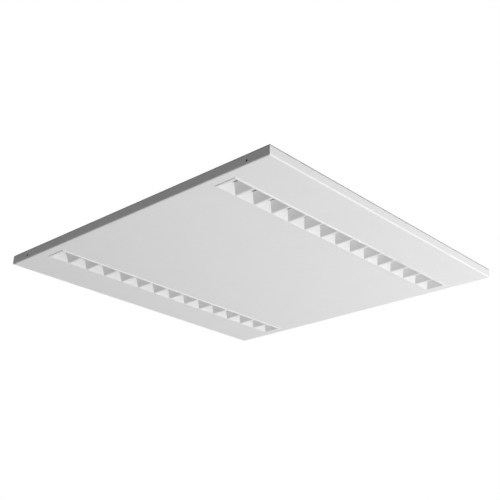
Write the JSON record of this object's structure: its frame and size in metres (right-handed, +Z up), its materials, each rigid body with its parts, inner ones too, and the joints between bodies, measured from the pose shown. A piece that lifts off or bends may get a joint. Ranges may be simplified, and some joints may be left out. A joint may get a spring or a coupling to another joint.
{
  "type": "surface mounted office luminaire",
  "caption": "Shallow square ceiling luminaire: folded white tray with two rows of square reflector cells, hung on a flat ceiling plate by side set screws.",
  "frame": {"origin": "middle of the ceiling plane, on the axis of the cable entry and at the centre of the four ceiling screw slots", "axes": "+Z up into the ceiling, X along the rows of cells, Y across them"},
  "size_m": [0.6, 0.6, 0.017],
  "materials": {
    "white_powder_coat": "fine satin powder coat on folded steel",
    "galvanised_steel": "plain galvanised sheet",
    "white_reflector": "satin white moulding",
    "black_rubber": "matt moulded rubber",
    "seal_grey": "grey closed cell foam",
    "zinc_plated": "bright zinc plate",
    "black_oxide": "black oxide on steel",
    "board_white": "white solder mask",
    "board_green": "green solder mask",
    "spreader_aluminium": "mill finish strip",
    "diode_yellow": "phosphor under clear silicone",
    "nylon_white": "natural nylon",
    "driver_white": "thin white paint on sheet steel",
    "component_dark": "wound and canned electronic parts",
    "terminal_grey": "grey moulded polyamide",
    "button_orange": "orange moulded polyamide",
    "spring_steel": "bright spring steel",
    "contact_brass": "plain brass",
    "tinned_copper": "tinned copper",
    "wire_brown": "brown insulation",
    "wire_blue": "blue insulation",
    "wire_green_yellow": "green and yellow insulation",
    "lead_red": "red insulation",
    "lead_black": "black insulation"
  },
  "bodies": {
    "ceiling_plate": {"ceiling_plate": "galvanised_steel", "cable_grommet": "black_rubber"},
    "tray": {"board_connector_front": "nylon_white", "board_connector_rear": "nylon_white", "board_screws": "zinc_plated", "cable_clamp": "nylon_white", "clamp_spring_earth": "spring_steel", "clamp_spring_live": "spring_steel", "clamp_spring_neutral": "spring_steel", "contact_bars": "contact_brass", "driver_base": "galvanised_steel", "driver_circuit_board": "board_green", "driver_components": "component_dark", "driver_cover": "driver_white", "driver_input_terminal": "terminal_grey", "driver_output_terminal": "terminal_grey", "earth_lug": "tinned_copper", "earth_washer": "zinc_plated", "edge_seal": "seal_grey", "heat_spreader_front": "spreader_aluminium", "heat_spreader_rear": "spreader_aluminium", "lead_front_minus": "lead_black", "lead_front_plus": "lead_red", "lead_rear_minus": "lead_black", "lead_rear_plus": "lead_red", "led_board_front": "board_white", "led_board_rear": "board_white", "led_packages_front": "diode_yellow", "led_packages_rear": "diode_yellow", "press_nuts": "zinc_plated", "reflector_strip_front": "white_reflector", "reflector_strip_rear": "white_reflector", "set_screws": "black_oxide", "stud_nuts": "zinc_plated", "terminal_block": "terminal_grey", "tray": "white_powder_coat", "weld_studs": "zinc_plated", "wire_clips": "nylon_white", "wire_earth": "wire_green_yellow", "wire_live": "wire_brown", "wire_neutral": "wire_blue"},
    "button_live": {"release_button_live": "button_orange"},
    "button_neutral": {"release_button_neutral": "button_orange"},
    "button_earth": {"release_button_earth": "button_orange"}
  },
  "joints": [
    {"name": "tray_lower", "type": "slide", "parent": "ceiling_plate", "child": "tray", "axis": [0, 0, -1], "range_m": [0, 0.013]},
    {"name": "button_live_press", "type": "slide", "parent": "tray", "child": "button_live", "axis": [0, 0, -1], "range_m": [0, 0.0012], "stiffness_N_per_m": 2500, "springref_m": -0.002, "deforming": ["clamp_spring_live"]},
    {"name": "button_neutral_press", "type": "slide", "parent": "tray", "child": "button_neutral", "axis": [0, 0, -1], "range_m": [0, 0.0012], "stiffness_N_per_m": 2500, "springref_m": -0.002, "deforming": ["clamp_spring_neutral"]},
    {"name": "button_earth_press", "type": "slide", "parent": "tray", "child": "button_earth", "axis": [0, 0, -1], "range_m": [0, 0.0012], "stiffness_N_per_m": 2500, "springref_m": -0.002, "deforming": ["clamp_spring_earth"]}
  ]
}
